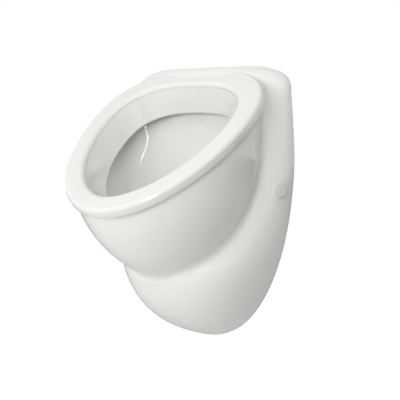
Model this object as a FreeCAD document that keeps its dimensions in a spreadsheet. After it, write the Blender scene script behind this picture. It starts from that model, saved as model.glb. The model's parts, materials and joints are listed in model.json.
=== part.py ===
import FreeCAD, Part
import Sketcher
import math
import os
from FreeCAD import Placement, Rotation, Vector

# Wall hung urinal with a tilted oval bowl, millimetres, +Z up, front towards -Y.
# Origin: the centre of the water inlet, on the finished wall (the plane Y = 0).
# Heights called "drop" are measured down from the datum line of the casting.

doc = FreeCAD.newDocument("WallUrinal")
sheet = doc.addObject("Spreadsheet::Sheet", "Sizes")

sizeRows = [
    # casting: place of the rim and the wall
    ("datumRise", 44, "inlet centre up to the datum line of the casting"),
    ("rimRise", 46.5, "inlet centre up to the back edge of the rim"),
    ("rimTilt", 38.5, "slope of the rim in degrees"),
    ("rimGap", 20, "wall to the back edge of the rim"),
    # casting: shield against the wall
    ("shieldHalf", 181, "half width of the shield at its widest"),
    ("shieldRise", 3, "top of the shield above the datum line"),
    ("shieldWaist", 155, "drop of the widest line of the shield"),
    ("shieldTaper", 12.5, "how much each side leans in towards the top"),
    ("shieldFlat", 80, "half width of the flat on top"),
    ("cornerDrop", 41, "height of the rounded top corners"),
    ("cornerPower", 2.4, "fullness of the top corners"),
    ("shieldFoot", 503, "drop of the lowest point"),
    ("footPower", 2.06, "fullness of the lower outline"),
    ("shieldPower", 2.25, "fullness of the plan section"),
    ("topDepth", 20, "depth of the flat on top"),
    ("neckDepth", 48, "depth of the shield under its rounded top"),
    ("neckDrop", 47, "drop at which the rounded top ends"),
    ("chestDepth", 66, "depth at the chest"),
    ("chestDrop", 120, "drop of the chest"),
    ("sideDepth", 93, "depth at the side fixings"),
    ("sideDrop", 210, "drop of the side fixings"),
    ("hipDepth", 128, "depth at the hip"),
    ("hipDrop", 284, "drop of the hip"),
    ("bellyDepth", 169.5, "greatest depth of the trap cover"),
    ("bellyDrop", 343, "drop of the deepest line"),
    ("bellyPower", 2.32, "how long the belly stays full"),
    ("bellyRoot", 0.74, "how it closes at the foot"),
    ("castWall", 10, "thickness of the ceramic"),
    # casting: bowl
    ("rimWidth", 350, "width over the rim"),
    ("rimLength", 370, "length of the rim along its slope"),
    ("rimWaist", 130, "back edge to the widest line, along the slope"),
    ("rimThick", 20, "thickness of the rim's edge"),
    ("rimTopRound", 7, "rounding of the upper edge"),
    ("rimLowRound", 6, "rounding of the lower edge"),
    ("rimOverhang", 11, "rim beyond the bowl"),
    ("rimBackPower", 2.3, "fullness of the rim at the wall end"),
    ("rimFrontPower", 1.95, "fullness of the rim at the front"),
    ("bowlBack", 8, "wall to the back of the bowl"),
    ("bowlLean", 68, "how far the back of the bowl leans forward below"),
    ("bowlShoulder", 144, "drop where the bowl starts to close"),
    ("bowlEnd", 386, "drop where its sides would meet"),
    ("bowlNose", 380, "drop where its front would meet"),
    ("bowlFloor", 367, "drop of the underside of the bowl"),
    ("floorThick", 11, "thickness of the bowl's floor"),
    ("filletCrease", 14, "fillet where bowl and shield meet"),
    # casting: mouth and inner lip
    ("mouthWidth", 270, "width of the mouth"),
    ("mouthBack", 48, "back edge of the rim to the mouth"),
    ("mouthFront", 37, "front edge of the rim to the mouth"),
    ("mouthWaist", 150, "back edge of the rim to the mouth's widest line"),
    ("mouthBackPower", 2.6, "fullness of the mouth at the wall end"),
    ("mouthFrontPower", 1.85, "fullness of the mouth at the front"),
    ("mouthRound", 9, "rounding of the mouth's edge"),
    ("lipDepth", 56, "depth of the inner lip"),
    ("lipInset", 18, "how far the lip leans in"),
    ("lipWall", 9, "thickness of the lip"),
    ("roofThick", 10, "thickness over the water channel"),
    # water inlet
    ("inletBore", 40, "bore through the casting"),
    ("inletBoss", 60, "boss round the bore"),
    ("pipeOuter", 28, "flush pipe, outside"),
    ("pipeWall", 1.5, "flush pipe, wall"),
    ("spigotStep", 0.3, "pipe end smaller than the pipe, each side"),
    ("pushGap", 0.05, "clearance of pushed and threaded pieces"),
    ("pipeReach", 60, "flush pipe behind the wall face"),
    ("connectorLength", 20, "rubber connector"),
    ("connectorFlange", 50, "its flange"),
    ("connectorLip", 3, "thickness of the flange"),
    ("connectorBevel", 1, "bevel at the mouth of its bore, clear of the pipe"),
    # waste
    ("wasteReach", 103, "wall to the waste axis"),
    ("wasteBore", 42, "bore through the floor"),
    ("flangeOuter", 54, "waste flange"),
    ("flangeThick", 2, "thickness of the flange"),
    ("seatDepth", 3, "recess in the floor for the flange"),
    ("seatGap", 1.2, "recess wider than the flange, each side"),
    ("topSealThick", 1.5, "seal under the flange"),
    ("barrelOuter", 38, "barrel of the waste"),
    ("barrelInner", 34.6, "bore of the barrel"),
    ("barrelLength", 16, "barrel under the flange"),
    ("barDrop", 7, "underside of the flange down to the cross bar"),
    ("barWidth", 6, "cross bar"),
    ("barThick", 3, "cross bar"),
    ("lowSealThick", 3, "seal under the ceramic"),
    ("bodyFlange", 60, "flange of the waste body"),
    ("bodyFlangeThick", 4, "its thickness"),
    ("tailOuter", 42, "threaded tail, over the thread"),
    ("tailInner", 33, "bore of the tail"),
    ("tailLength", 20, "tail under the flange"),
    ("screwDia", 6, "waste screw and side screws"),
    ("screwHead", 11, "head of the waste screw"),
    ("screwHeadHigh", 3.2, "height of the head"),
    ("screwReach", 22, "waste screw under its head"),
    ("slipGap", 0.3, "clearance between loose round pieces"),
    ("threadGap", 0.15, "clearance of the plastic threads"),
    # strainer
    ("grateOuter", 48, "dome of the strainer"),
    ("grateRise", 7, "height of the dome"),
    ("grateWall", 1.6, "thickness of the dome"),
    ("gratePlug", 8, "depth of its plug ring"),
    ("slotWidth", 3, "slots"),
    ("slotCount", 12, "slots round the dome"),
    # trap
    ("tubeOuter", 32, "trap tube, outside"),
    ("tubeWall", 2, "trap tube, wall"),
    ("collarThick", 4, "collar of the trap inlet"),
    ("trapSealThick", 2.5, "flat seal on the collar"),
    ("nutWall", 4.5, "wall of the union nuts"),
    ("nutHigh", 20, "height of the inlet union nut"),
    ("nutLip", 3.5, "lip of the union nuts"),
    ("ribCount", 12, "grip ribs of a union nut"),
    ("bendRadius", 28, "centre line of the return bend"),
    ("legDrop", 10, "inlet leg below its collar"),
    ("cupFloor", 8, "cup's floor above the return bend"),
    ("cupHigh", 12, "height of the cup"),
    ("outNutHigh", 18, "height of the outlet union nut"),
    ("ringThick", 4, "compression ring"),
    ("elbowRadius", 24, "centre line of the outlet elbow"),
    ("elbowRise", 5, "outlet nut up to the elbow"),
    ("outletReach", 60, "outlet pipe behind the wall face"),
    ("sleeveOuter", 50, "rubber wall sleeve"),
    ("sleeveLength", 24, "its length"),
    ("sleeveStart", 4, "wall face to the sleeve"),
    # side fixings, the same on both sides
    ("fixTurn", 60, "turn of the fixing axis from straight ahead, degrees"),
    ("fixSpread", 173.4, "centre line to the fixing, on the outside face"),
    ("fixDepth", 30.5, "wall to the fixing, on the outside face"),
    ("spotDepth", 1, "spot face cut into the glaze face"),
    ("spotDia", 25, "spot face"),
    ("fixBore", 14, "bore through the casting"),
    ("bushBore", 6.6, "bore of the nylon bush"),
    ("bushFlange", 19, "flange of the bush"),
    ("bushFlangeThick", 1.2, "its thickness"),
    ("washerDia", 15, "washer"),
    ("washerThick", 1, "washer"),
    ("headDia", 11.5, "head of the side screw"),
    ("headHigh", 2.2, "height of the head"),
    ("sideScrewLength", 21, "side screw under its head"),
    ("capDia", 22, "cover cap"),
    ("capHigh", 5.8, "height of the cap"),
    ("capWall", 1.2, "wall of the cap"),
    ("strapThick", 3, "steel of the bracket"),
    ("strapHigh", 28, "height of the bracket"),
    ("footStart", 140, "centre line to the fold at the foot"),
    ("footLength", 46, "foot of the bracket on the wall"),
    ("faceFront", 13.5, "face of the bracket, from the screw to the front fold"),
    ("faceRear", 8.5, "face of the bracket, from the screw to its free end"),
    ("padGap", 1.5, "clearance of the bracket in its pocket"),
    ("fixGrip", 8.8, "ceramic left between the spot face and the bracket"),
    ("fixNutSide", 10, "square nut across the flats"),
    ("fixNutHigh", 5, "height of the square nut"),
    ("wallHole", 7, "wall screw holes"),
    ("wallHolePitch", 14, "between the two wall screw holes"),
    ("wallHoleEdge", 16, "inner end of the foot to the holes"),
]
for row, (alias, value, note) in enumerate(sizeRows, start=1):
    sheet.set("A%d" % row, alias)
    sheet.set("B%d" % row, str(value))
    sheet.set("C%d" % row, note)
    sheet.setAlias("B%d" % row, alias)
doc.recompute()


def size(alias):
    return float(sheet.get(alias))


class Term:
    """A length worked out from the sheet: its value and the formula that keeps it so."""

    def __init__(self, value, formula):
        self.value, self.formula = value, formula

    def join(self, sign, other, flipped=False):
        if not isinstance(other, Term):
            other = Term(float(other), str(other))
        a, b = (other, self) if flipped else (self, other)
        value = {"+": a.value + b.value, "-": a.value - b.value, "*": a.value * b.value,
                 "/": a.value / b.value if b.value else 0.0}[sign]
        return Term(value, "(%s %s %s)" % (a.formula, sign, b.formula))

    def __add__(self, other):
        return self.join("+", other)

    def __radd__(self, other):
        return self.join("+", other, True)

    def __sub__(self, other):
        return self.join("-", other)

    def __rsub__(self, other):
        return self.join("-", other, True)

    def __mul__(self, other):
        return self.join("*", other)

    def __rmul__(self, other):
        return self.join("*", other, True)

    def __truediv__(self, other):
        return self.join("/", other)

    def __neg__(self):
        return self.join("-", 0, True)


def dim(alias):
    return Term(size(alias), "Sizes." + alias)


def bind(thing, prop, length):
    if isinstance(length, Term):
        thing.setExpression(prop, length.formula)
    elif "." not in prop:
        setattr(thing, prop, length)
    return thing


def place(thing, where, rotation=None):
    """Seats a piece at a point of terms, so that it follows the sheet."""
    values = [w.value if isinstance(w, Term) else w for w in where]
    thing.Placement = Placement(Vector(*values), rotation or Rotation())
    for axis, w in zip("xyz", where):
        bind(thing, "Placement.Base." + axis, w)
    return thing


def polygonSketch(body, role, corners, name):
    """A closed outline whose corners are held from the origin by terms."""
    sketch = body.newObject("Sketcher::SketchObject", name)
    plane = [f for f in body.Origin.OriginFeatures if f.Role == role][0]
    sketch.AttachmentSupport = [(plane, "")]
    sketch.MapMode = "FlatFace"
    terms = [[c if isinstance(c, Term) else Term(float(c), str(c)) for c in corner]
             for corner in corners]
    points = [Vector(u.value, v.value, 0) for u, v in terms]
    count = len(points)
    for i in range(count):
        sketch.addGeometry(Part.LineSegment(points[i], points[(i + 1) % count]), False)
    for i in range(count):
        sketch.addConstraint(Sketcher.Constraint("Coincident", i, 2, (i + 1) % count, 1))
    for i, pair in enumerate(terms):
        for kind, term, axis in (("DistanceX", pair[0], -2), ("DistanceY", pair[1], -1)):
            if abs(term.value) < 1e-9:
                sketch.addConstraint(Sketcher.Constraint("PointOnObject", i, 1, axis))
                continue
            at = sketch.addConstraint(Sketcher.Constraint(kind, -1, 1, i, 1, term.value))
            sketch.setExpression("Constraints[%d]" % at, term.formula)
    return sketch


def turned(label, corners):
    """A piece turned about its own Z axis from (radius, height) corners."""
    body = doc.addObject("PartDesign::Body", label)
    sketch = polygonSketch(body, "XZ_Plane", corners, label + "Outline")
    turn = body.newObject("PartDesign::Revolution", label + "Turn")
    turn.Profile = sketch
    turn.ReferenceAxis = (sketch, ["V_Axis"])
    turn.Angle = 360
    body.Label = label
    return body


def ring(label, outer, inner, low, high):
    return turned(label, [(inner, low), (outer, low), (outer, high), (inner, high)])


def patterned(body, label, feature, count):
    """Repeats a feature about the piece's own Z axis."""
    pattern = body.newObject("PartDesign::PolarPattern", label)
    pattern.Originals = [feature]
    axis = [f for f in body.Origin.OriginFeatures if f.Role == "Z_Axis"][0]
    pattern.Axis = (axis, [""])
    pattern.Angle = 360
    bind(pattern, "Occurrences", count)
    body.Tip = pattern
    return pattern


def cylinder(name, radius, height, where, rotation=None):
    solid = doc.addObject("Part::Cylinder", name)
    bind(solid, "Radius", radius)
    bind(solid, "Height", height)
    return place(solid, where, rotation)


def bend(name, bendRadius, tubeRadius, sweep, where, rotation):
    solid = doc.addObject("Part::Torus", name)
    bind(solid, "Radius1", bendRadius)
    bind(solid, "Radius2", tubeRadius)
    solid.Angle3 = sweep
    return place(solid, where, rotation)


def box(name, sizes, where, rotation=None):
    solid = doc.addObject("Part::Box", name)
    for prop, length in zip(("Length", "Width", "Height"), sizes):
        bind(solid, prop, length)
    return place(solid, where, rotation)


def fused(name, pieces):
    union = doc.addObject("Part::MultiFuse", name)
    union.Shapes = pieces
    return union


def cut(label, base, tool):
    result = doc.addObject("Part::Cut", label)
    result.Base = base
    result.Tool = tool
    result.Label = label
    return result


pieces = []


def keep(thing):
    pieces.append(thing)
    return thing


def level(drop):
    return size("datumRise") - drop


def closing(u, power, root):
    """Share of the full width left at u, from 1 at the shoulder to 0 at the end."""
    u = min(max(u, 0.0), 1.0)
    return (1 - u ** power) ** root


def smoothThrough(xs, ys):
    """A monotone cubic through a few stations."""
    steps = [b - a for a, b in zip(xs, xs[1:])]
    slopes = [(b - a) / d for a, b, d in zip(ys, ys[1:], steps)]
    tangents = [slopes[0]]
    for i in range(1, len(steps)):
        before, after = steps[i - 1], steps[i]
        if slopes[i - 1] * slopes[i] <= 0:
            tangents.append(0.0)
        else:
            lead = (2 * after + before) / slopes[i - 1]
            trail = (after + 2 * before) / slopes[i]
            tangents.append(3 * (before + after) / (lead + trail))
    tangents.append(slopes[-1])

    def curve(x):
        x = min(max(x, xs[0]), xs[-1])
        i = 0
        while i < len(steps) - 1 and x > xs[i + 1]:
            i += 1
        u = (x - xs[i]) / steps[i]
        start = ys[i] * (1 + 2 * u) * (1 - u) ** 2 + tangents[i] * steps[i] * u * (1 - u) ** 2
        end = ys[i + 1] * u * u * (3 - 2 * u) + tangents[i + 1] * steps[i] * u * u * (u - 1)
        return start + end

    return curve


def marksAlong(points, closed):
    """Knots by distance along one outline, shared by all the sections of a skin."""
    marks = [0.0]
    ring = points[1:] + points[:1] if closed else points[1:]
    for a, b in zip(points, ring):
        marks.append(marks[-1] + math.dist(a, b))
    return [m / marks[-1] for m in marks]


def closedSpline(points, marks):
    curve = Part.BSplineCurve()
    curve.interpolate(Points=points, PeriodicFlag=True, Parameters=marks)
    return Part.Wire([curve.toShape()])


def oval(half, back, waist, front, backPower, frontPower, count=24):
    """Points (x, reach) of an egg shaped outline, fuller or leaner at each end."""
    points = []
    for i in range(count):
        angle = 2 * math.pi * i / count
        along, across = math.cos(angle), math.sin(angle)
        power = backPower if along > 0 else frontPower
        end = back if along > 0 else front
        x = half * math.copysign(abs(across) ** (2 / power), across)
        points.append((x, waist + (end - waist) * abs(along) ** (2 / power)))
    return points


# ---- ceramic casting -------------------------------------------------------
# Shield and trap cover: one skin through plan sections that lie on the wall.

depthAbove = smoothThrough(
    [size("neckDrop"), size("chestDrop"), size("sideDrop"), size("hipDrop"), size("bellyDrop")],
    [size("neckDepth"), size("chestDepth"), size("sideDepth"), size("hipDepth"), size("bellyDepth")])


def shieldHalfWidth(drop, wall):
    waist, corner = size("shieldWaist"), size("cornerDrop") - size("shieldRise")
    if drop > waist:
        fall = (drop - waist) / (size("shieldFoot") - waist - wall)
        return (size("shieldHalf") - wall) * closing(fall, size("footPower"), 1 / size("footPower"))
    straight = size("shieldHalf") - wall - size("shieldTaper") * ((waist - drop) / waist) ** 1.25
    if drop >= corner:
        return straight
    atCorner = size("shieldHalf") - wall - size("shieldTaper") * ((waist - corner) / waist) ** 1.25
    rise = (corner - drop) / (size("cornerDrop") - wall)
    power = size("cornerPower")
    return size("shieldFlat") + (atCorner - size("shieldFlat")) * closing(rise, power, 1 / power)


def shieldDepth(drop, wall):
    if drop > size("bellyDrop"):
        u = (drop - size("bellyDrop")) / (size("shieldFoot") - size("bellyDrop") - wall)
        return (size("bellyDepth") - wall) * closing(u, size("bellyPower"), size("bellyRoot"))
    if drop >= size("neckDrop"):
        return depthAbove(drop) - wall
    u = (size("neckDrop") - drop) / (size("neckDrop") + size("shieldRise") - wall)
    extra = size("neckDepth") - size("topDepth") - wall
    return size("topDepth") + extra * math.sqrt(max(0, 1 - u ** 2))


def halfOval(half, depth, count=12):
    power = size("shieldPower")
    points = [(half, 0.0)]
    for i in range(1, count):
        along, out = math.cos(math.pi * i / count), math.sin(math.pi * i / count)
        x = half * math.copysign(abs(along) ** (2 / power), along)
        points.append((x, -depth * out ** (2 / power)))
    return points + [(-half, 0.0)]


shieldMarks = marksAlong(halfOval(size("shieldHalf"), size("sideDepth")), False)


def shieldSection(drop, wall):
    outline = halfOval(shieldHalfWidth(drop, wall), shieldDepth(drop, wall))
    curve = Part.BSplineCurve()
    curve.interpolate(Points=[Vector(x, y, level(drop)) for x, y in outline], Parameters=shieldMarks)
    return Part.Wire([curve.toShape()])


def shieldSkin(wall):
    waist, corner = size("shieldWaist"), size("cornerDrop") - size("shieldRise")
    cornerHigh = size("cornerDrop") - wall
    foot = size("shieldFoot") - waist - wall
    drops = [corner - cornerHigh * math.sin(math.radians(a)) for a in (78, 64, 48, 32, 16)]
    drops += [corner + (waist - corner) * k for k in (0.02, 0.3, 0.65)]
    drops += [waist + foot * math.sin(math.radians(a)) for a in (0, 9, 18, 26, 34, 42, 50, 58, 66, 74, 80, 84)]
    skin = Part.makeLoft([shieldSection(d, wall) for d in drops], False, False).Faces[0]
    ends = {}
    for edge in skin.Edges:
        middle = edge.valueAt((edge.FirstParameter + edge.LastParameter) / 2)
        ends["right" if middle.x > 50 else "left" if middle.x < -50 else
             "top" if middle.z > 0 else "foot"] = edge
    caps = []
    for end in ("top", "foot"):
        edge = ends[end]
        closer = Part.makeLine(edge.Vertexes[0].Point, edge.Vertexes[-1].Point)
        caps.append(Part.Face(Part.Wire(Part.__sortEdges__([edge, closer]))))
        ends[end] = closer
    back = Part.Face(Part.Wire(Part.__sortEdges__(list(ends.values()))))
    shell = Part.Shell(Part.makeShell([skin, back] + caps).Faces)
    shell.sewShape()
    return Part.Solid(shell)


# Bowl: a straight oval well that closes towards its floor.


def bowlSection(drop, wall):
    shoulder = size("bowlShoulder")
    depthShare = min(max((drop - shoulder) / (size("bowlEnd") - shoulder), 0), 1)
    probe = drop + wall * depthShare ** 2
    u = min(max((probe - shoulder) / (size("bowlEnd") - shoulder), 0), 1)
    nose = min(max((probe - shoulder) / (size("bowlNose") - shoulder), 0), 1)
    bowlFront = (size("rimGap") + size("rimLength") * math.cos(math.radians(size("rimTilt")))
                 - size("rimOverhang"))
    axis = size("wasteReach") - 3
    half = (size("rimWidth") / 2 - size("rimOverhang")) * closing(u, 1.94, 0.73)
    front = axis + (bowlFront - axis) * closing(nose, 2.6, 0.66)
    back = size("bowlBack") + size("bowlLean") * u ** 1.6
    waist = back + 0.393 * (front - back)
    inset = wall * (1 - 0.4 * u)
    outline = oval(half - inset, back + inset, waist, front - inset, 2.5, 2.0)
    return closedSpline([Vector(x, -reach, level(drop)) for x, reach in outline], bowlMarks)


bowlMarks = marksAlong(oval(size("rimWidth") / 2, 0, 0.393 * size("rimLength"),
                            size("rimLength"), 2.5, 2.0), True)


def bowlSkin(wall, end):
    top, shoulder = -30.0, size("bowlShoulder")
    drops = [top + (shoulder - top) * k / 4 for k in range(5)]
    below = end - shoulder
    drops += [shoulder + below * k for k in (0.14, 0.28, 0.41, 0.53, 0.64, 0.74, 0.83, 0.9, 0.955, 1.0)]
    return Part.makeLoft([bowlSection(d, wall) for d in drops], True, False)


# Rim, mouth and lip lie on the sloping plane of the rim.
slope = math.radians(size("rimTilt"))
rimNormal = Vector(0, -math.sin(slope), math.cos(slope))
rimDown = Vector(0, -math.cos(slope), -math.sin(slope))
rimStart = Vector(0, -size("rimGap"), size("rimRise"))


def rimPoint(x, along, under):
    return rimStart + Vector(x, 0, 0) + rimDown * along - rimNormal * under


def rimWire(grow, under):
    outline = oval(size("rimWidth") / 2 + grow, -grow, size("rimWaist"), size("rimLength") + grow,
                   size("rimBackPower"), size("rimFrontPower"))
    return closedSpline([rimPoint(x, v, under) for x, v in outline], rimMarks)


def mouthWire(grow, under):
    outline = oval(size("mouthWidth") / 2 + grow, size("mouthBack") - grow, size("mouthWaist"),
                   size("rimLength") - size("mouthFront") + grow,
                   size("mouthBackPower"), size("mouthFrontPower"))
    return closedSpline([rimPoint(x, v, under) for x, v in outline], mouthMarks)


rimMarks = marksAlong(oval(size("rimWidth") / 2, 0, size("rimWaist"), size("rimLength"),
                           size("rimBackPower"), size("rimFrontPower")), True)
mouthMarks = marksAlong(oval(size("mouthWidth") / 2, size("mouthBack"), size("mouthWaist"),
                             size("rimLength") - size("mouthFront"),
                             size("mouthBackPower"), size("mouthFrontPower")), True)


def aboveRim(under):
    """Everything above a plane that lies this far under the rim."""
    block = Part.makeBox(900, 1100, 700, Vector(-450, -550, 0))
    block.Placement = Placement(rimPoint(0, 0, under), Rotation(Vector(1, 0, 0), size("rimTilt")))
    return block


def sharedEdges(joined, one, other):
    """Edges of a joined solid along which the skins of both parts meet."""
    skins = [Part.Shell(one.Faces), Part.Shell(other.Faces)]
    found = []
    for edge in joined.Edges:
        span = edge.LastParameter - edge.FirstParameter
        probes = [Part.Vertex(edge.valueAt(edge.FirstParameter + span * k)) for k in (0.2, 0.5, 0.8)]
        if max(skin.distToShape(p)[0] for skin in skins for p in probes) < 0.05:
            found.append(edge)
    return found


shieldOuter = shieldSkin(0)
shieldInner = shieldSkin(size("castWall"))
bowlOuter = bowlSkin(0, size("bowlFloor")).cut(aboveRim(size("rimThick")))
joined = shieldOuter.fuse(bowlOuter)
crease = max(sharedEdges(joined, shieldOuter, bowlOuter), key=lambda edge: edge.Length)
casting = joined.makeFillet(size("filletCrease"), [crease])
casting = casting.cut(shieldInner.cut(bowlOuter))

# the rim plate, its edge rounded above and below
def rounded(radius, steps, start, end):
    """Quarter of a round as (share across, share down) pairs."""
    turns = [math.radians(start + (end - start) * i / steps) for i in range(steps + 1)]
    return [(radius * math.cos(t), radius * math.sin(t)) for t in turns]


def stack(wire, *profiles):
    """Solid through outlines that step from one profile of (growth, depth) pairs to the next."""
    outlines = [pair for i, tier in enumerate(profiles) for pair in (tier[1:] if i else tier)]
    return Part.makeLoft([wire(grow, under) for grow, under in outlines], True, True)


topRound, lowRound, thick = size("rimTopRound"), size("rimLowRound"), size("rimThick")
upperEdge = [(c - topRound, topRound - s) for c, s in rounded(topRound, 4, 90, 0)]
lowerEdge = [(c - lowRound, thick - lowRound + s) for c, s in rounded(lowRound, 4, 0, 90)]
rimPlate = stack(rimWire, upperEdge, [upperEdge[-1], lowerEdge[0]], lowerEdge)
casting = casting.fuse(rimPlate)

# boss for the inlet, inside the back
inletAxis = Vector(0, -1, 0)
boss = Part.makeCylinder(size("inletBoss") / 2,
                         size("bowlBack") + size("castWall") - size("connectorLip"),
                         Vector(0, -size("connectorLip"), 0), inletAxis)
casting = casting.fuse(boss)

# the well, and over it the water channel behind the lip
wellSkin = bowlSkin(size("castWall"), size("bowlFloor") - size("floorThick"))
roofTool = aboveRim(size("rimThick") + size("castWall")).cut(
    Part.Face(rimWire(-size("lipWall"), size("roofThick"))).extrude(rimNormal * -60))
hollow = wellSkin.cut(roofTool)
lean = size("lipInset") / size("lipDepth")
tip = size("lipWall") / 2
lipEnd = size("lipDepth") - tip
outerTip = [(tip * lean + c - lipEnd * lean, lipEnd + s) for c, s in rounded(tip, 3, 0, 90)]
outerTip = [(grow + tip * (1 - lean), under) for grow, under in outerTip]
lipOuter = stack(mouthWire, [(outerTip[0][0] + (lipEnd + 2) * lean, -2), outerTip[0]], outerTip)
casting = casting.cut(hollow.cut(lipOuter))

# the mouth down through the lip, flaring at its rounded edge and at the lip's end
mouthTop = size("mouthRound")
mouthEdge = [(mouthTop - c, mouthTop - s) for c, s in rounded(mouthTop, 4, 90, 0)]
innerTip = [(tip - c - lipEnd * lean, lipEnd + s) for c, s in rounded(tip, 3, 0, 90)]
mouthTool = stack(mouthWire, [(mouthTop, -2), mouthEdge[0]], mouthEdge, [mouthEdge[-1], innerTip[0]],
                  innerTip)
casting = casting.cut(mouthTool)

# openings for the fittings: inlet, waste and side fixings
inletTool = Part.makeCylinder(size("inletBore") / 2, size("bowlBack") + size("castWall") + 4,
                              Vector(0, 1, 0), inletAxis)
wasteCentre = Vector(0, -size("wasteReach"), 0)
seatHigh = level(size("bowlFloor") - size("floorThick")) - size("seatDepth")
wasteTool = Part.makeCylinder(size("wasteBore") / 2, 40, wasteCentre + Vector(0, 0, seatHigh - 30))
seatTool = Part.makeCylinder(size("flangeOuter") / 2 + size("seatGap"), 12,
                             wasteCentre + Vector(0, 0, seatHigh))
casting = casting.cut([inletTool, wasteTool, seatTool])


class FixingAxis:
    """The line of one side fixing: origin on the spot face, out is away from the ceramic."""

    def __init__(self, side):
        turnAngle = math.radians(size("fixTurn"))
        self.side = side
        self.out = Vector(side * math.sin(turnAngle), -math.cos(turnAngle), 0)
        self.along = Vector(side * math.cos(turnAngle), math.sin(turnAngle), 0)
        onFace = Vector(side * size("fixSpread"), -size("fixDepth"), level(size("sideDrop")))
        self.origin = onFace - self.out * size("spotDepth")
        self.rotation = Rotation(Vector(0, 0, 1), self.out)

    def point(self, out, along=0.0, up=0.0):
        return self.origin + self.out * out + self.along * along + Vector(0, 0, up)

    def cylinder(self, radius, start, end):
        return Part.makeCylinder(radius, end - start, self.point(start), self.out)

    def slab(self, outs, alongs, half):
        corners = [self.point(o, a, -half) for o, a in
                   ((outs[0], alongs[0]), (outs[1], alongs[0]), (outs[1], alongs[1]), (outs[0], alongs[1]))]
        return Part.Face(Part.makePolygon(corners + corners[:1])).extrude(Vector(0, 0, 2 * half))


fixings = {"right": FixingAxis(1), "left": FixingAxis(-1)}
for fixing in fixings.values():
    grip, gap = size("fixGrip"), size("padGap")
    casting = casting.cut([
        fixing.cylinder(size("spotDia") / 2, 0, 8),
        fixing.cylinder(size("fixBore") / 2, -grip - 4, 4),
        fixing.slab((-grip - 12, -grip), (-size("faceFront") - gap, size("faceRear") + gap),
                    size("strapHigh") / 2 + gap)])

ceramic = doc.addObject("Part::Feature", "ceramic_body")
ceramic.Shape = casting
ceramic.Placement = Placement()
ceramic.Label = "ceramic_body"
keep(ceramic)


# ---- water inlet -----------------------------------------------------------
# Turned pieces on the inlet axis: their own Z points out of the wall, to the front.
toFront = Rotation(Vector(1, 0, 0), 90)
lip, half = dim("connectorLip"), dim("inletBore") / 2
pipeHalf = dim("pipeOuter") / 2
boreGap = pipeHalf - dim("spigotStep") + dim("pushGap")
bevel = dim("connectorBevel")
connector = turned("inlet_connector", [
    (boreGap + bevel, 0), (dim("connectorFlange") / 2, 0), (dim("connectorFlange") / 2, lip),
    (half, lip), (half, dim("connectorLength") - 2), (half - 2, dim("connectorLength")),
    (boreGap, dim("connectorLength")), (boreGap, bevel)])
keep(place(connector, (0, 0, 0), toFront))
spigot, pipeBore = pipeHalf - dim("spigotStep"), pipeHalf - dim("pipeWall")
pipe = turned("inlet_pipe", [
    (pipeBore, -dim("pipeReach")), (pipeHalf, -dim("pipeReach")), (pipeHalf, -0.5), (spigot, -0.5),
    (spigot, dim("connectorLength") - 4), (pipeBore, dim("connectorLength") - 4)])
keep(place(pipe, (0, 0, 0), toFront))


# ---- waste -----------------------------------------------------------------
# Heights on the waste axis, from the floor of the bowl down.
wasteY = -dim("wasteReach")
under = dim("datumRise") - dim("bowlFloor")
seat = under + dim("floorThick") - dim("seatDepth")
flangeUnder = seat + dim("topSealThick")
flangeTop = flangeUnder + dim("flangeThick")
barrelEnd = flangeUnder - dim("barrelLength")
barTop = flangeUnder - dim("barDrop")
sealUnder = under - dim("lowSealThick")
bodyUnder = sealUnder - dim("bodyFlangeThick")
tailEnd = bodyUnder - dim("tailLength")
slip = dim("slipGap")

sealTop = ring("waste_seal_top", dim("flangeOuter") / 2, dim("barrelOuter") / 2 + slip, 0,
               dim("topSealThick"))
keep(place(sealTop, (0, wasteY, seat)))

barrel = turned("WasteBarrel", [
    (dim("barrelInner") / 2, -dim("barrelLength")), (dim("barrelOuter") / 2, -dim("barrelLength")),
    (dim("barrelOuter") / 2, 0), (dim("flangeOuter") / 2, 0),
    (dim("flangeOuter") / 2, dim("flangeThick") / 2), (dim("flangeOuter") / 2 - 3, dim("flangeThick")),
    (dim("barrelInner") / 2, dim("flangeThick"))])
place(barrel, (0, wasteY, flangeUnder))
bar = box("WasteBar", (dim("barrelInner") + 1, dim("barWidth"), dim("barThick")),
          (-(dim("barrelInner") + 1) / 2, wasteY - dim("barWidth") / 2, barTop - dim("barThick")))
barHub = cylinder("WasteBarHub", dim("screwHead") / 2, dim("barThick"),
                  (0, wasteY, barTop - dim("barThick")))
barHole = cylinder("WasteBarHole", dim("screwDia") / 2 + slip, dim("barThick") + 2,
                   (0, wasteY, barTop - dim("barThick") - 1))
keep(cut("waste_flange", fused("WasteBarrelBar", [barrel, bar, barHub]), barHole))

screwHalf = dim("screwDia") / 2
screw = turned("waste_screw", [
    (0, -dim("screwReach")), (screwHalf - 1, -dim("screwReach")), (screwHalf, -dim("screwReach") + 1),
    (screwHalf, 0), (dim("screwHead") / 2, 0), (dim("screwHead") / 2, dim("screwHeadHigh") / 2),
    (dim("screwHead") / 2 - 1.5, dim("screwHeadHigh")), (2, dim("screwHeadHigh")),
    (2, dim("screwHeadHigh") - 1.5), (0, dim("screwHeadHigh") - 1.5)])
keep(place(screw, (0, wasteY, barTop)))

sealLow = ring("waste_seal_low", dim("bodyFlange") / 2 - 1, dim("barrelOuter") / 2 + slip, 0,
               dim("lowSealThick"))
keep(place(sealLow, (0, wasteY, sealUnder)))

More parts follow.
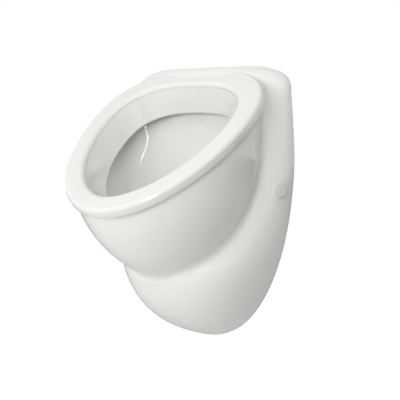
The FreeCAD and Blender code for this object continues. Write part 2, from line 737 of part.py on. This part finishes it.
socketEnd = -dim("barrelLength") + dim("topSealThick") + dim("floorThick") - dim("seatDepth") \
    + dim("lowSealThick") - 1
tail = turned("WasteTail", [
    (dim("tailInner") / 2, -dim("bodyFlangeThick") - dim("tailLength")),
    (dim("tailOuter") / 2 - 1, -dim("bodyFlangeThick") - dim("tailLength")),
    (dim("tailOuter") / 2, -dim("bodyFlangeThick") - dim("tailLength") + 1),
    (dim("tailOuter") / 2, -dim("bodyFlangeThick")), (dim("bodyFlange") / 2, -dim("bodyFlangeThick")),
    (dim("bodyFlange") / 2, 0), (dim("barrelOuter") / 2 + slip, 0),
    (dim("barrelOuter") / 2 + slip, socketEnd), (dim("tailInner") / 2, socketEnd)])
place(tail, (0, wasteY, sealUnder))
tapBottom = barTop - dim("screwReach") - 0.5
tapBar = box("WasteTapBar", (dim("tailInner") + 1, dim("barWidth") + 2, dim("barThick") * 2),
             (-(dim("tailInner") + 1) / 2, wasteY - (dim("barWidth") + 2) / 2, tapBottom))
tapHub = cylinder("WasteTapHub", dim("screwDia"), dim("barThick") * 2, (0, wasteY, tapBottom))
tapHole = cylinder("WasteTapHole", screwHalf + dim("pushGap"), dim("barThick") * 2 + 2, (0, wasteY, tapBottom - 1))
keep(cut("waste_body", fused("WasteTailBar", [tail, tapBar, tapHub]), tapHole))

# strainer: a slotted dome with a plug ring that drops into the barrel
grateHalf, plugHalf = dim("grateOuter") / 2, dim("barrelInner") / 2 - slip
wall, rise = dim("grateWall"), dim("grateRise")
strainer = turned("strainer", [
    (plugHalf - wall, -dim("gratePlug")), (plugHalf, -dim("gratePlug")), (plugHalf, 0), (grateHalf, 0),
    (grateHalf, wall), (grateHalf * 0.84, wall + rise * 0.42), (grateHalf * 0.6, wall + rise * 0.75),
    (grateHalf * 0.32, wall + rise * 0.94), (0, wall + rise), (0, rise),
    (grateHalf * 0.3, rise * 0.93), (grateHalf * 0.56, rise * 0.72), (plugHalf - wall, rise * 0.4)])
slotSketch = polygonSketch(strainer, "XY_Plane", [
    (grateHalf * 0.26, -dim("slotWidth") / 2), (grateHalf * 0.66, -dim("slotWidth") / 2),
    (grateHalf * 0.66, dim("slotWidth") / 2), (grateHalf * 0.26, dim("slotWidth") / 2)], "SlotOutline")
doc.recompute()
slot = strainer.newObject("PartDesign::Pocket", "Slot")
slot.Profile = slotSketch
slot.Type = "ThroughAll"
slot.Midplane = True
doc.recompute()
patterned(strainer, "Slots", slot, dim("slotCount"))
keep(place(strainer, (0, wasteY, flangeTop)))


# ---- trap ------------------------------------------------------------------
tubeHalf, boreHalf = dim("tubeOuter") / 2, dim("tubeOuter") / 2 - dim("tubeWall")
threadHalf = dim("tailOuter") / 2 + dim("threadGap")
collarHalf = dim("tailOuter") / 2 - slip
collarTop = tailEnd - dim("trapSealThick")
collarEnd = collarTop - dim("collarThick")
bendZ = collarEnd - dim("legDrop")
outY = wasteY + dim("bendRadius") * 2
cupLow = bendZ + dim("cupFloor")
cupTop = cupLow + dim("cupHigh")

trapSeal = ring("trap_inlet_seal", collarHalf, boreHalf, 0, dim("trapSealThick"))
keep(place(trapSeal, (0, wasteY, collarTop)))


def unionNut(label, high, lipAtTop):
    """Plastic union nut with grip ribs; its lip holds a collar or a compression ring."""
    outer, lipHigh = threadHalf + dim("nutWall"), dim("nutLip")
    neck = tubeHalf + slip * 2
    if lipAtTop:
        corners = [(threadHalf, 0), (outer, 0), (outer, high - 1), (outer - 1, high), (neck, high),
                   (neck, high - lipHigh), (threadHalf, high - lipHigh)]
    else:
        corners = [(neck, 0), (outer - 1, 0), (outer, 1), (outer, high), (threadHalf, high),
                   (threadHalf, lipHigh), (neck, lipHigh)]
    nut = turned(label, corners)
    rib = polygonSketch(nut, "XY_Plane", [(outer - 1, -1.5), (outer + 0.9, -0.9), (outer + 0.9, 0.9),
                                          (outer - 1, 1.5)], label + "RibOutline")
    doc.recompute()
    pad = nut.newObject("PartDesign::Pad", label + "Rib")
    pad.Profile = rib
    bind(pad, "Length", high - 2)
    doc.recompute()
    patterned(nut, label + "Ribs", pad, dim("ribCount"))
    return nut


keep(place(unionNut("trap_inlet_nut", dim("nutHigh"), False), (0, wasteY, collarEnd - dim("nutLip"))))

alongFall = Rotation(Vector(0, -1, 0), Vector(0, 0, -1), Vector(1, 0, 0), "XYZ")
alongRise = Rotation(Vector(0, -1, 0), Vector(0, 0, 1), Vector(-1, 0, 0), "XYZ")
bendY = wasteY + dim("bendRadius")
trapSkin = fused("TrapOutside", [
    cylinder("TrapCollar", collarHalf, dim("collarThick"), (0, wasteY, collarEnd)),
    cylinder("TrapLeg", tubeHalf, dim("legDrop") + 1, (0, wasteY, bendZ)),
    bend("TrapBend", dim("bendRadius"), tubeHalf, 180, (0, bendY, bendZ), alongFall),
    cylinder("TrapOutLeg", tubeHalf, dim("cupFloor") + 1, (0, outY, bendZ)),
    cylinder("TrapCup", dim("tailOuter") / 2, dim("cupHigh"), (0, outY, cupLow))])
trapBore = fused("TrapInside", [
    cylinder("TrapLegBore", boreHalf, dim("legDrop") + dim("collarThick") + 1, (0, wasteY, bendZ)),
    bend("TrapBendBore", dim("bendRadius"), boreHalf, 180, (0, bendY, bendZ), alongFall),
    cylinder("TrapOutBore", boreHalf, dim("cupFloor") + 4, (0, outY, bendZ)),
    cylinder("TrapCupBore", tubeHalf + slip, dim("cupHigh"), (0, outY, cupLow + 2))])
keep(cut("trap_body", trapSkin, trapBore))

compression = turned("trap_outlet_ring", [
    (tubeHalf + 0.1, 0), (collarHalf - 1.5, 0), (collarHalf, 1.5), (collarHalf, dim("ringThick")),
    (tubeHalf + 0.1, dim("ringThick"))])
keep(place(compression, (0, outY, cupTop)))
nutTop = cupTop + dim("ringThick") + dim("nutLip")
keep(place(unionNut("trap_outlet_nut", dim("outNutHigh"), True), (0, outY, nutTop - dim("outNutHigh"))))

elbowZ = nutTop + dim("elbowRise")
elbowY = outY + dim("elbowRadius")
axisZ = elbowZ + dim("elbowRadius")
riserLow = cupLow + 3


def outlet(name, radius, extra):
    """Riser, elbow and level run to the wall, as one run of the given radius."""
    return fused(name, [
        cylinder(name + "Riser", radius, elbowZ - riserLow + extra, (0, outY, riserLow - extra)),
        bend(name + "Elbow", dim("elbowRadius"), radius, 90, (0, elbowY, elbowZ), alongRise),
        cylinder(name + "Level", radius, dim("outletReach") - elbowY + extra, (0, elbowY, axisZ),
                 Rotation(Vector(1, 0, 0), -90))])


keep(cut("outlet_bend", outlet("OutletSkin", tubeHalf, 0), outlet("OutletBore", boreHalf, 1)))
sleeve = turned("wall_sleeve", [
    (tubeHalf + 0.1, 0), (dim("sleeveOuter") / 2, 0), (dim("sleeveOuter") / 2, 3),
    (dim("sleeveOuter") / 2 - 1.5, 4), (dim("sleeveOuter") / 2 - 1.5, dim("sleeveLength") - 4),
    (dim("sleeveOuter") / 2 - 3, dim("sleeveLength")), (tubeHalf + 0.1, dim("sleeveLength"))])
keep(place(sleeve, (0, dim("sleeveStart"), axisZ), Rotation(Vector(1, 0, 0), -90)))


# ---- side fixings, one set a side ------------------------------------------
for side, fixing in fixings.items():
    def seated(thing):
        thing.Placement = Placement(fixing.origin, fixing.rotation)
        return keep(thing)

    boltHalf, bushHalf = dim("screwDia") / 2, dim("bushBore") / 2
    barrelHalf = dim("fixBore") / 2 - dim("threadGap")
    flangeHigh, washerTop = dim("bushFlangeThick"), dim("bushFlangeThick") + dim("washerThick")
    seated(turned("fixing_bush_" + side, [
        (bushHalf, -dim("fixGrip") + slip), (barrelHalf, -dim("fixGrip") + slip), (barrelHalf, 0),
        (dim("bushFlange") / 2, 0), (dim("bushFlange") / 2, flangeHigh), (bushHalf, flangeHigh)]))
    seated(ring("fixing_washer_" + side, dim("washerDia") / 2, bushHalf, flangeHigh, washerTop))
    headHalf, headTop = dim("headDia") / 2, washerTop + dim("headHigh")
    seated(turned("fixing_screw_" + side, [
        (0, washerTop - dim("sideScrewLength")), (boltHalf - 1, washerTop - dim("sideScrewLength")),
        (boltHalf, washerTop - dim("sideScrewLength") + 1), (boltHalf, washerTop), (headHalf, washerTop),
        (headHalf, headTop - 0.8), (headHalf - 1.2, headTop), (1.8, headTop), (1.8, headTop - 1.4),
        (0, headTop - 1.4)]))
    capHalf, capTop, capWall = dim("capDia") / 2, dim("capHigh"), dim("capWall")
    seated(turned("cover_cap_" + side, [
        (capHalf - capWall, 0), (capHalf, 0), (capHalf, capTop - 2.2), (capHalf - 0.7, capTop - 0.9),
        (capHalf - 2.2, capTop - 0.2), (capHalf * 0.5, capTop), (0, capTop), (0, capTop - capWall),
        (capHalf * 0.5, capTop - capWall), (capHalf - capWall - 1.2, capTop - capWall - 0.3),
        (capHalf - capWall, capTop - capWall - 1.6)]))

    thick, grip, high = size("strapThick"), size("fixGrip"), size("strapHigh")
    squareNut = fixing.slab((-grip - thick - size("fixNutHigh"), -grip - thick),
                            (-size("fixNutSide") / 2, size("fixNutSide") / 2), size("fixNutSide") / 2)
    nutPiece = doc.addObject("Part::Feature", "fixing_nut_" + side)
    nutPiece.Shape = squareNut.cut(fixing.cylinder(size("screwDia") / 2 + size("pushGap"), -grip - 20, 0))
    nutPiece.Placement = Placement()
    nutPiece.Label = "fixing_nut_" + side
    keep(nutPiece)

    # folded strap: face behind the ceramic, web back to the wall, foot on the wall
    faceFront, faceRear = fixing.point(-grip, -size("faceFront")), fixing.point(-grip, size("faceRear"))
    faceFront.z = faceRear.z = fixing.origin.z - high / 2
    fold = Vector(fixing.side * size("footStart"), -thick, faceFront.z)
    web = (fold - faceFront).normalize()
    webNormal = Vector(fixing.side * web.y, -fixing.side * web.x, 0)
    if webNormal.x * fixing.side < 0:
        webNormal = -webNormal

    def crossing(a, u, b, v):
        """Where two lines in plan meet."""
        turnBack = u.x * v.y - u.y * v.x
        reach = ((b.x - a.x) * v.y - (b.y - a.y) * v.x) / turnBack
        return a + u * reach

    insideFace, insideWeb = faceFront - fixing.out * thick, faceFront + webNormal * thick
    inner = crossing(insideFace, fixing.along, insideWeb, web)
    toe = crossing(insideWeb, web, Vector(0, 0, faceFront.z), Vector(1, 0, 0))
    footEnd = fixing.side * (size("footStart") - size("footLength"))
    outline = [faceRear, faceFront, fold, Vector(footEnd, -thick, faceFront.z),
               Vector(footEnd, 0, faceFront.z), toe, inner, faceRear - fixing.out * thick]
    strap = Part.Face(Part.makePolygon(outline + outline[:1])).extrude(Vector(0, 0, high))
    holes = [fixing.cylinder(size("bushBore") / 2, -grip - thick - 1, -grip + 1)]
    for up in (-0.5, 0.5):
        centre = Vector(footEnd + fixing.side * size("wallHoleEdge"), -thick - 1,
                        fixing.origin.z + up * size("wallHolePitch"))
        holes.append(Part.makeCylinder(size("wallHole") / 2, thick + 2, centre, Vector(0, 1, 0)))
    bracket = doc.addObject("Part::Feature", "wall_bracket_" + side)
    bracket.Shape = strap.cut(holes)
    bracket.Placement = Placement()
    bracket.Label = "wall_bracket_" + side
    keep(bracket)


# ---- check and write -------------------------------------------------------
doc.recompute()
for thing in doc.Objects:
    if "Invalid" in thing.State or "Error" in thing.State:
        raise RuntimeError("failed: " + thing.Label)
os.makedirs("parts", exist_ok=True)
for piece in pieces:
    shape = piece.Shape
    if shape.isNull() or not shape.isValid() or not shape.Solids:
        raise RuntimeError("bad shape: " + piece.Label)
    shape.exportStep(os.path.join("parts", piece.Label + ".step"))
    print(piece.Label, len(shape.Solids), round(shape.Volume / 1000, 2), "cm3")
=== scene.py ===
import json
import math

import bmesh
import bpy
from mathutils import Matrix, Vector


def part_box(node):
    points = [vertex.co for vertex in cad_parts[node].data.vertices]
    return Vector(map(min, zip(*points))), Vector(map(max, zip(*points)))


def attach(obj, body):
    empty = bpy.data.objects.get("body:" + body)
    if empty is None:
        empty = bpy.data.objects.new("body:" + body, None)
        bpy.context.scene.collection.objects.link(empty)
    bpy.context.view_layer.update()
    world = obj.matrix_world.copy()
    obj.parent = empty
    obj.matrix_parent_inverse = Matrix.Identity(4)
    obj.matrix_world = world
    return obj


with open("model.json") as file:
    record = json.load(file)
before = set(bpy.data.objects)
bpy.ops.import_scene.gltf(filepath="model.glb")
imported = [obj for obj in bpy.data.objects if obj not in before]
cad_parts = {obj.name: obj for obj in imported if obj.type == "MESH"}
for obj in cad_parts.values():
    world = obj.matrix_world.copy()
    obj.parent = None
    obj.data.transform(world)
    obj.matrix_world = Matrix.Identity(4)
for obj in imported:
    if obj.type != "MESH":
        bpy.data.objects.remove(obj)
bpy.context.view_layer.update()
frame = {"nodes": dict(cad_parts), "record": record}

nodes = frame["nodes"]
scene = bpy.context.scene
mm = 0.001
print("frame loaded:", len(nodes), "nodes")


# a node's output that takes part in plain expressions
class Mask:
    def __init__(self, owner, socket):
        self.owner = owner
        self.socket = socket

    def join(self, operation, left, right):
        return self.owner.node("ShaderNodeMath", {"operation": operation}, {0: left, 1: right})

    def __add__(self, other):
        return self.join("ADD", self, other)

    def __radd__(self, other):
        return self.join("ADD", other, self)

    def __sub__(self, other):
        return self.join("SUBTRACT", self, other)

    def __rsub__(self, other):
        return self.join("SUBTRACT", other, self)

    def __mul__(self, other):
        return self.join("MULTIPLY", self, other)

    def __rmul__(self, other):
        return self.join("MULTIPLY", other, self)

    def larger(self, other):
        return self.join("MAXIMUM", self, other)


# any node tree: a node's type, its settings, then the values or links of its sockets
class Nodes:
    def node(self, kind, settings=None, inputs=None, output=0):
        made = self.tree.nodes.new(kind)
        for name, value in (settings or {}).items():
            setattr(made, name, value)
        for name, value in (inputs or {}).items():
            self.feed(made.inputs[name], value)
        return Mask(self, made.outputs[output])

    def feed(self, target, value):
        if isinstance(value, Mask):
            self.tree.links.new(value.socket, target)
        elif target.type == "RGBA" and len(value) == 3:
            target.default_value = (*value, 1)
        else:
            target.default_value = value


class Shader(Nodes):
    def __init__(self, name):
        self.material = bpy.data.materials.new(name)
        self.material.use_nodes = True
        self.tree = self.material.node_tree
        self.tree.nodes.clear()
        self.output = self.tree.nodes.new("ShaderNodeOutputMaterial")

    def objectPoint(self):
        return self.node("ShaderNodeTexCoord", output="Object")

    def noise(self, scale, detail=2.0, roughness=0.5):
        return self.node("ShaderNodeTexNoise", {"noise_dimensions": "3D"},
                         {"Vector": self.objectPoint(), "Scale": scale, "Detail": detail,
                          "Roughness": roughness})

    def blend(self, factor, first, second):
        # the colour sockets of a Mix node are reached by number
        return self.node("ShaderNodeMix", {"data_type": "RGBA"},
                         {0: factor, 6: first, 7: second}, output=2)

    def bump(self, height, strength, distance, under=None):
        inputs = {"Height": height, "Strength": strength, "Distance": distance}
        if under:
            inputs["Normal"] = under
        return self.node("ShaderNodeBump", None, inputs)

    def surface(self, sockets):
        made = self.node("ShaderNodeBsdfPrincipled", None, sockets)
        self.tree.links.new(made.socket, self.output.inputs["Surface"])
        return self.material


# fired china: white body under a clear glaze with a very slight wave
glazeLook = {
    "white": (0.796, 0.803, 0.768), "warmPatch": (0.768, 0.775, 0.738), "patchSize": 5.0,
    "roughness": 0.05, "roughnessSpread": 0.02, "smearSize": 40.0,
    "waveSize": 18.0, "waveDepth": 0.00025, "grainSize": 900.0, "grainDepth": 0.00002,
    "ior": 1.52, "coat": 0.25, "coatRoughness": 0.04,
}


def makeGlaze(name):
    look, glaze = glazeLook, Shader(name)
    patch = glaze.noise(look["patchSize"], 2.0)
    smear = glaze.noise(look["smearSize"], 3.0)
    wavy = glaze.bump(glaze.noise(look["waveSize"], 1.5), 1.0, look["waveDepth"])
    fine = glaze.bump(glaze.noise(look["grainSize"], 1.0), 1.0, look["grainDepth"], wavy)
    return glaze.surface({
        "Base Color": glaze.blend(patch, look["white"], look["warmPatch"]),
        "Roughness": look["roughness"] + look["roughnessSpread"] * (smear - 0.5),
        "Normal": fine, "IOR": look["ior"],
        "Coat Weight": look["coat"], "Coat Roughness": look["coatRoughness"]})


# moulded plastics: colour, then roughness
plasticKinds = {
    "whitePlastic": ((0.80, 0.80, 0.79), 0.35),
    "nylonBush": ((0.78, 0.76, 0.70), 0.5),
    "capPlastic": ((0.66, 0.665, 0.645), 0.30),
}
plasticLook = {"mottleSize": 60.0, "shade": 0.95, "smearSize": 180.0, "roughnessSpread": 0.10,
               "grainSize": 2500.0, "grainStrength": 0.4, "grainDepth": 0.00004}


def makePlastic(name):
    look, plastic = plasticLook, Shader(name)
    color, roughness = plasticKinds[name]
    mottle = plastic.noise(look["mottleSize"], 3.0)
    smear = plastic.noise(look["smearSize"], 3.0)
    grain = plastic.noise(look["grainSize"], 2.0)
    shade = tuple(channel * look["shade"] for channel in color)
    return plastic.surface({
        "Base Color": plastic.blend(mottle, color, shade),
        "Roughness": roughness + look["roughnessSpread"] * (smear - 0.5),
        "Normal": plastic.bump(grain, look["grainStrength"], look["grainDepth"])})


# chrome on brass: handled, so its sheen is smeared
chromeKinds = {"chromeTube": 0.12, "chromePart": 0.16}
chromeLook = {"bright": (0.80, 0.81, 0.82), "dull": (0.72, 0.73, 0.75), "smearSize": 70.0,
              "smearMiddle": 0.45, "roughnessSpread": 0.12, "dentSize": 25.0,
              "dentStrength": 0.3, "dentDepth": 0.0003}


def makeChrome(name):
    look, chrome = chromeLook, Shader(name)
    smear = chrome.noise(look["smearSize"], 4.0)
    dent = chrome.noise(look["dentSize"], 2.0)
    return chrome.surface({
        "Base Color": chrome.blend(smear, look["bright"], look["dull"]), "Metallic": 1.0,
        "Roughness": chromeKinds[name] + look["roughnessSpread"] * (smear - look["smearMiddle"]),
        "Normal": chrome.bump(dent, look["dentStrength"], look["dentDepth"])})


zincLook = {"bright": (0.60, 0.61, 0.62), "dull": (0.50, 0.51, 0.54), "cloudSize": 90.0,
            "roughness": 0.30, "roughnessSpread": 0.18, "spangleSize": 220.0,
            "spangleStrength": 0.25, "spangleDepth": 0.0001}


def makeZinc(name):
    look, zinc = zincLook, Shader(name)
    spangle = zinc.node("ShaderNodeTexVoronoi", {"feature": "F1"},
                        {"Vector": zinc.objectPoint(), "Scale": look["spangleSize"]})
    cloud = zinc.noise(look["cloudSize"], 4.0)
    return zinc.surface({
        "Base Color": zinc.blend(cloud, look["bright"], look["dull"]), "Metallic": 1.0,
        "Roughness": look["roughness"] + look["roughnessSpread"] * cloud,
        "Normal": zinc.bump(spangle, look["spangleStrength"], look["spangleDepth"])})


rubberLook = {"black": (0.018, 0.018, 0.019), "dusty": (0.040, 0.040, 0.041), "dustSize": 35.0,
              "roughness": 0.62, "roughnessSpread": 0.2, "grainSize": 1600.0,
              "grainStrength": 0.5, "grainDepth": 0.00008}


def makeRubber(name):
    look, rubber = rubberLook, Shader(name)
    dust = rubber.noise(look["dustSize"], 5.0, 0.6)
    grain = rubber.noise(look["grainSize"], 3.0)
    return rubber.surface({
        "Base Color": rubber.blend(dust, look["black"], look["dusty"]),
        "Roughness": look["roughness"] + look["roughnessSpread"] * (dust - 0.5),
        "Normal": rubber.bump(grain, look["grainStrength"], look["grainDepth"])})


# one finish for each material slot of the record
finishes = {
    "ceramic": makeGlaze("glazedChina"), "rubber": makeRubber("mouldedRubber"),
    "chrome_tube": makeChrome("chromeTube"), "chrome_part": makeChrome("chromePart"),
    "zinc_steel": makeZinc("zincPlate"), "white_plastic": makePlastic("whitePlastic"),
    "nylon": makePlastic("nylonBush"), "cap_plastic": makePlastic("capPlastic"),
}
slotOf = {row["node"]: row["material_slot"] for row in frame["record"]["subparts"]}
for name, thing in nodes.items():
    thing.data.materials.clear()
    thing.data.materials.append(finishes[slotOf[name]])
print("finishes on", len(nodes), "nodes")


# what winds or stacks round a turned piece is grown by Geometry Nodes and kept as plain mesh
class Growth(Nodes):
    seatInputs = {"place": "Vector", "turn": "Vector", "material": "Material"}

    def __init__(self, name, sizeInputs):
        self.tree = bpy.data.node_groups.new(name, "GeometryNodeTree")
        self.tree.is_modifier = True
        face = self.tree.interface
        self.sockets = {
            key: face.new_socket(key, in_out="INPUT", socket_type="NodeSocket" + kind)
            for key, kind in {**sizeInputs, **self.seatInputs}.items()}
        face.new_socket("geometry", in_out="OUTPUT", socket_type="NodeSocketGeometry")
        self.given = self.tree.nodes.new("NodeGroupInput")
        self.output = self.tree.nodes.new("NodeGroupOutput")

    def value(self, key):
        return Mask(self, self.given.outputs[key])

    def tube(self, path, thickness, corners):
        profile = self.node("GeometryNodeCurvePrimitiveCircle", {"mode": "RADIUS"},
                            {"Resolution": corners, "Radius": thickness})
        return self.node("GeometryNodeCurveToMesh", None,
                         {"Curve": path, "Profile Curve": profile, "Fill Caps": True})

    def close(self, geometry):
        seated = self.node("GeometryNodeTransform", None,
                           {"Geometry": geometry, "Translation": self.value("place"),
                            "Rotation": self.value("turn")})
        real = self.node("GeometryNodeRealizeInstances", None, {"Geometry": seated})
        painted = self.node("GeometryNodeSetMaterial", None,
                            {"Geometry": real, "Material": self.value("material")})
        self.tree.links.new(painted.socket, self.output.inputs["geometry"])
        return self


# corners: of the ridge's section; steps: along one turn or round one rib
threadMesh = {"corners": 6, "steps": 40}
ribMesh = {"corners": 10, "steps": 72}


def makeThreadTree():
    grown = Growth("windThread", {"radius": "Float", "pitch": "Float", "turns": "Float",
                                  "depth": "Float"})
    radius, turns = grown.value("radius"), grown.value("turns")
    path = grown.node("GeometryNodeCurveSpiral", None,
                      {"Resolution": threadMesh["steps"], "Rotations": turns,
                       "Start Radius": radius, "End Radius": radius,
                       "Height": turns * grown.value("pitch")})
    return grown.close(grown.tube(path, grown.value("depth"), threadMesh["corners"]))


def makeRibTree():
    grown = Growth("stackRibs", {"radius": "Float", "pitch": "Float", "rows": "Int",
                                 "depth": "Float"})
    circle = grown.node("GeometryNodeCurvePrimitiveCircle", {"mode": "RADIUS"},
                        {"Resolution": ribMesh["steps"], "Radius": grown.value("radius")})
    step = grown.node("ShaderNodeCombineXYZ", None, {"Z": grown.value("pitch")})
    rows = grown.node("GeometryNodeMeshLine", {"mode": "OFFSET"},
                      {"Count": grown.value("rows"), "Offset": step})
    rib = grown.tube(circle, grown.value("depth"), ribMesh["corners"])
    return grown.close(grown.node("GeometryNodeInstanceOnPoints", None,
                                  {"Points": rows, "Instance": rib}))


threadTree, ribTree = makeThreadTree(), makeRibTree()


def growPiece(name, growth, sizes, place, turn, slot):
    carrier = bpy.data.objects.new(name + "Carrier", bpy.data.meshes.new(name + "Carrier"))
    scene.collection.objects.link(carrier)
    modifier = carrier.modifiers.new("growth", "NODES")
    modifier.node_group = growth.tree
    given = {**sizes, "place": place, "turn": turn, "material": finishes[slot]}
    for key, value in given.items():
        modifier[growth.sockets[key].identifier] = value
    bpy.context.view_layer.update()
    ready = carrier.evaluated_get(bpy.context.evaluated_depsgraph_get())
    mesh = bpy.data.meshes.new_from_object(ready)
    bpy.data.objects.remove(carrier)
    mesh.name = name

    shell = bmesh.new()
    shell.from_mesh(mesh)
    bmesh.ops.recalc_face_normals(shell, faces=shell.faces)
    shell.to_mesh(mesh)
    shell.free()
    for polygon in mesh.polygons:
        polygon.use_smooth = True
    piece = bpy.data.objects.new(name, mesh)
    scene.collection.objects.link(piece)
    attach(piece, "urinal")


# thread on the open length of the waste's tail, from just above the union nut
tailThread = {"radius": 21.0 * mm, "pitch": 2.5 * mm, "turns": 3.4, "depth": 0.55 * mm}
tailStart = 0.7 * mm
low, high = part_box("waste_body")
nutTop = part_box("trap_inlet_nut")[1][2]
growPiece("tail_thread", threadTree, tailThread,
          ((low[0] + high[0]) / 2, (low[1] + high[1]) / 2, nutTop + tailStart),
          (0.0, 0.0, 0.0), "white_plastic")

# ribs round the rubber sleeve that goes into the wall, from the sleeve's front end
sleeveRibs = {"radius": 23.5 * mm, "pitch": 3.2 * mm, "rows": 5, "depth": 0.8 * mm}
firstRib = 6.5 * mm
low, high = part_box("wall_sleeve")
growPiece("sleeve_ribs", ribTree, sleeveRibs,
          (0.0, low[1] + firstRib, (low[2] + high[2]) / 2),
          (-math.pi / 2, 0.0, 0.0), "rubber")

# thread on the end of each side screw, behind its square nut
screwThread = {"radius": 2.9 * mm, "pitch": 0.8 * mm, "turns": 1.9, "depth": 0.25 * mm}
screwSeat = {"side": 173.4 * mm, "depth": 30.5 * mm, "height": -166.0 * mm,
             "turn": math.radians(60), "end": -18.6 * mm}
for side, name in ((1, "right"), (-1, "left")):
    turn = side * screwSeat["turn"]
    outward = Vector((math.sin(turn), -math.cos(turn), 0.0))
    seat = Vector((side * screwSeat["side"], -screwSeat["depth"], screwSeat["height"]))
    growPiece("screw_thread_" + name, threadTree, screwThread,
              tuple(seat + outward * screwSeat["end"]),
              (math.pi / 2, 0.0, turn), slotOf["fixing_screw_" + name])
print("threads and ribs grown")


# studio: soft boxes round the object, a pale floor and a white backdrop
studio = {"target": (0.0, -0.12, -0.20), "lampReach": 2.2, "mirrored": "stripBox",
          "floorHeight": -0.85, "floorSize": 12.0, "floorGlow": 0.90, "floorRoughness": 0.7,
          "floorLight": (0.86, 0.86, 0.86), "floorDark": (0.84, 0.84, 0.84), "patchSize": 3.0,
          "white": (1.0, 1.0, 1.0), "black": (0.0, 0.0, 0.0), "ambient": 0.06}
lampTable = {
    # turn from the front, height and roll in degrees, then width and height in metres, watts
    "frontBox": (0, 12, 0, 2.6, 1.2, 36.0),
    "leftBox": (-65, 10, 0, 1.3, 1.6, 8.5),
    "rightHighBox": (60, 50, 0, 1.5, 1.5, 20.0),
    "rearTopBox": (180, 60, 0, 1.5, 1.0, 5.5),
    "rearBox": (175, 8, 0, 1.4, 1.4, 16.0),
    "topBox": (-20, 55, 0, 1.5, 1.2, 5.7),
    "stripBox": (35, 5, 35, 1.0, 0.045, 1.9),
}


def softBox(name, turn, rise, roll, width, height, power):
    data = bpy.data.lights.new(name, "AREA")
    data.shape = "RECTANGLE"
    data.size, data.size_y = width, height
    data.energy = power
    lamp = bpy.data.objects.new(name, data)
    # the strip alone shows in the glaze, as the thin streak inside the bowl
    lamp.visible_glossy = name == studio["mirrored"]
    scene.collection.objects.link(lamp)
    turn, rise, roll = math.radians(turn), math.radians(rise), math.radians(roll)
    ray = Vector((math.cos(rise) * math.sin(turn), -math.cos(rise) * math.cos(turn),
                  math.sin(rise)))
    place = Vector(studio["target"]) + ray * studio["lampReach"]
    aim = (-ray).to_track_quat("-Z", "Y").to_matrix().to_4x4()
    lamp.matrix_world = Matrix.Translation(place) @ aim @ Matrix.Rotation(roll, 4, "Z")


for name, row in lampTable.items():
    softBox(name, *row)


class World(Nodes):
    def __init__(self, name):
        self.world = bpy.data.worlds.new(name)
        self.world.use_nodes = True
        self.tree = self.world.node_tree
        self.tree.nodes.clear()
        self.output = self.tree.nodes.new("ShaderNodeOutputWorld")

    def ray(self, kind):
        return self.node("ShaderNodeLightPath", output=kind)

    def background(self, strength):
        return self.node("ShaderNodeBackground", None,
                         {"Color": studio["white"], "Strength": strength})


# the backdrop is white to the eye and in reflections, and gives little light of its own
backdrop = World("studioWorld")
scene.world = backdrop.world
seen = backdrop.ray("Is Camera Ray").larger(
    backdrop.ray("Is Glossy Ray").larger(backdrop.ray("Is Transmission Ray")))
either = backdrop.node("ShaderNodeMixShader", None,
                       {0: seen, 1: backdrop.background(studio["ambient"]),
                        2: backdrop.background(1.0)})
backdrop.tree.links.new(either.socket, backdrop.output.inputs["Surface"])

# the floor glows to the camera only, so it is as white as the backdrop and keeps the shadow
half, level = studio["floorSize"] / 2, studio["floorHeight"]
floorMesh = bpy.data.meshes.new("studioFloor")
floorMesh.from_pydata([(-half, -half, level), (half, -half, level),
                       (half, half, level), (-half, half, level)], [], [(0, 1, 2, 3)])
floor = bpy.data.objects.new("studioFloor", floorMesh)
scene.collection.objects.link(floor)
paint = Shader("floorPaint")
direct = paint.node("ShaderNodeLightPath", output="Is Camera Ray")
glow = (studio["floorGlow"],) * 3
floor.data.materials.append(paint.surface({
    "Base Color": paint.blend(paint.noise(studio["patchSize"]),
                              studio["floorLight"], studio["floorDark"]),
    "Roughness": studio["floorRoughness"],
    "Emission Color": paint.blend(direct, studio["black"], glow), "Emission Strength": 1.0}))

# camera at the photograph's angle
cameraLook = {"place": (0.7939, -1.0488, -0.0269), "right": (0.78801075, 0.61566148, 0.0),
              "up": (-0.07987545, 0.10223592, 0.99154815), "lens": 63.0, "sensor": 36.0}
cameraData = bpy.data.cameras.new("photoCamera")
cameraData.lens = cameraLook["lens"]
cameraData.sensor_width = cameraLook["sensor"]
camera = bpy.data.objects.new("photoCamera", cameraData)
scene.collection.objects.link(camera)
right, up = Vector(cameraLook["right"]), Vector(cameraLook["up"])
aim = Matrix((right, up, right.cross(up))).transposed().to_4x4()
camera.matrix_world = Matrix.Translation(cameraLook["place"]) @ aim
scene.camera = camera
scene.view_settings.view_transform = "Standard"
print("studio and camera set")
